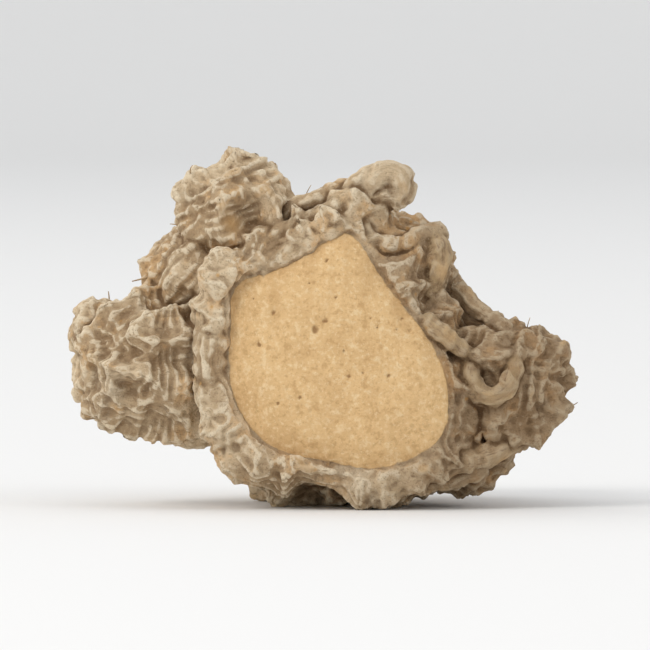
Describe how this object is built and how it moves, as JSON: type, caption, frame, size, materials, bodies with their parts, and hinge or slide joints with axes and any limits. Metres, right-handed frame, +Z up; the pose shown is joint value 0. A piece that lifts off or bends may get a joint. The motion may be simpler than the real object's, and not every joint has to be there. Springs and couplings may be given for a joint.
{
  "type": "dried kencur root piece",
  "caption": "Dried piece of kencur root with a domed pale cut face, a folded brown skin, side knobs, a bud and broken root stubs.",
  "frame": {"origin": "middle of the small flat spot that the root rests on, under its weight", "axes": "+Z up, -Y out of the cut face (which leans back 7 degrees), +X along the knobs from left to right"},
  "size_m": [0.0198, 0.0143, 0.0139],
  "materials": {
    "dried_root": "dry, matt and wrinkled skin, with pale starchy flesh at the cut face"
  },
  "bodies": {
    "root": {"kencur_root": "dried_root"}
  },
  "joints": []
}
